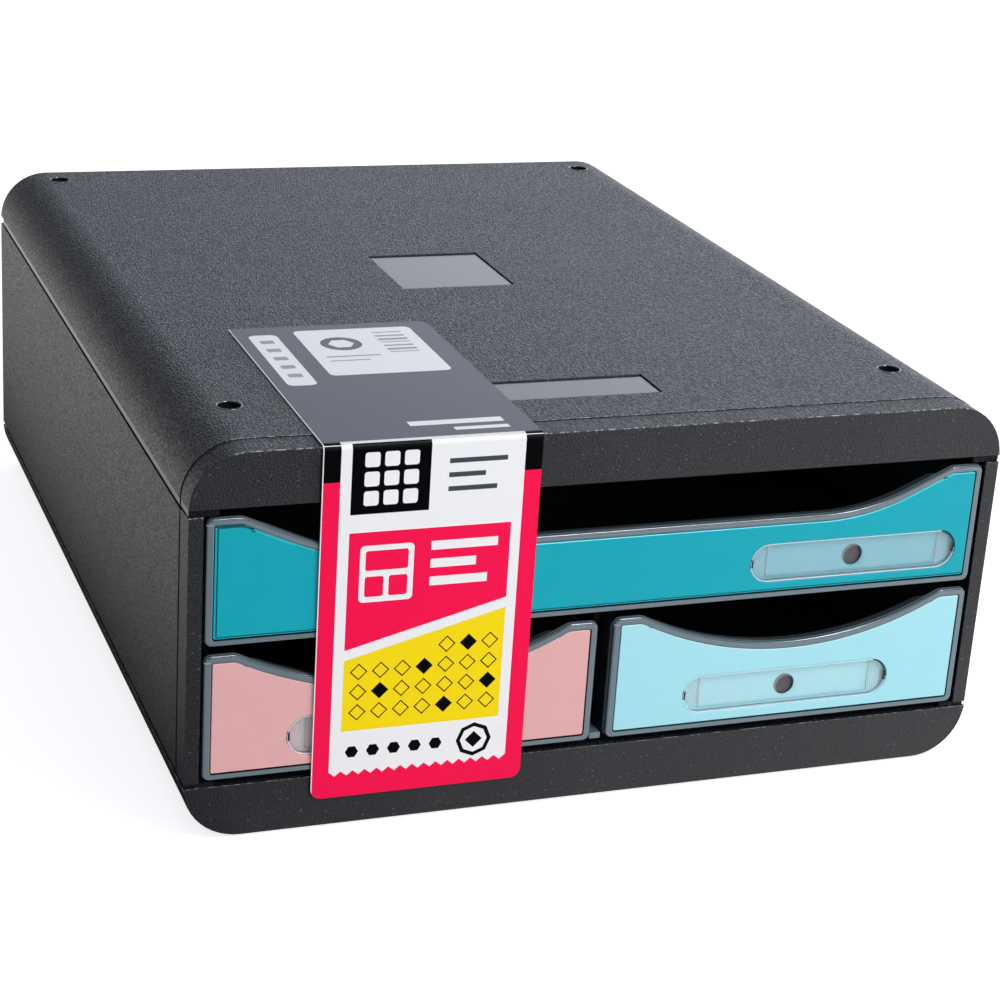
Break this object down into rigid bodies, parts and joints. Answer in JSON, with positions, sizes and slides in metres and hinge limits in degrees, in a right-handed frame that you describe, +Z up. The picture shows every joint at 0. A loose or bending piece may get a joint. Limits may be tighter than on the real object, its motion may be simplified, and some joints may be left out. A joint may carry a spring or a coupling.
{
  "type": "desktop drawer cabinet",
  "caption": "Low desktop cabinet with rounded long edges: one wide drawer over a pair of narrow ones, each with a scooped finger hold and a label window.",
  "frame": {"origin": "centre of the cabinet's footprint at table level", "axes": "+X to the right seen from the front, +Y from the drawer fronts towards the back panel, +Z up"},
  "size_m": [0.278, 0.3481, 0.1304],
  "materials": {
    "charcoal_shell": "spark-eroded grain",
    "drawer_moulding": "satin",
    "teal_plate": "satin",
    "rose_plate": "satin",
    "sky_plate": "satin",
    "clear_window": "clear",
    "rubber_foot": "matt",
    "tag_card": "coated card"
  },
  "bodies": {
    "cabinet": {"top_cover": "charcoal_shell", "base_shell": "charcoal_shell", "left_side_panel": "charcoal_shell", "right_side_panel": "charcoal_shell", "back_panel": "charcoal_shell", "center_divider": "charcoal_shell", "front_left_foot": "rubber_foot", "front_right_foot": "rubber_foot", "rear_left_foot": "rubber_foot", "rear_right_foot": "rubber_foot", "tag_top": "tag_card"},
    "upper_drawer": {"upper_tray": "drawer_moulding", "upper_front_panel": "teal_plate", "upper_label_window": "clear_window"},
    "left_drawer": {"left_tray": "drawer_moulding", "left_front_panel": "rose_plate", "left_label_window": "clear_window"},
    "right_drawer": {"right_tray": "drawer_moulding", "right_front_panel": "sky_plate", "right_label_window": "clear_window"},
    "tag_upper_part": {"tag_crease": "tag_card", "tag_upper_flap": "tag_card"},
    "tag_lower_part": {"tag_bend": "tag_card", "tag_lower_flap": "tag_card"}
  },
  "joints": [
    {"name": "upper_drawer_slide", "type": "slide", "parent": "cabinet", "child": "upper_drawer", "axis": [0, -1, 0], "range_m": [0, 0.25], "deforming": ["tag_crease", "tag_upper_flap", "tag_bend", "tag_lower_flap"]},
    {"name": "left_drawer_slide", "type": "slide", "parent": "cabinet", "child": "left_drawer", "axis": [0, -1, 0], "range_m": [0, 0.25], "deforming": ["tag_crease", "tag_upper_flap", "tag_bend", "tag_lower_flap"]},
    {"name": "right_drawer_slide", "type": "slide", "parent": "cabinet", "child": "right_drawer", "axis": [0, -1, 0], "range_m": [0, 0.25]},
    {"name": "tag_fold", "type": "hinge", "parent": "cabinet", "child": "tag_upper_part", "pos_m": [-0.0625, -0.1741, 0.1299], "axis": [-1, 0, 0], "range_deg": [0, 100]},
    {"name": "tag_bend_between_rows", "type": "hinge", "parent": "tag_upper_part", "child": "tag_lower_part", "pos_m": [-0.0625, -0.1744, 0.065], "axis": [-1, 0, 0], "range_deg": [0, 100]}
  ],
  "couplings": [
    {"joint": "tag_fold", "follows": "upper_drawer_slide", "rad_per_m": 6.98},
    {"joint": "tag_bend_between_rows", "follows": "left_drawer_slide", "rad_per_m": 6.98}
  ]
}
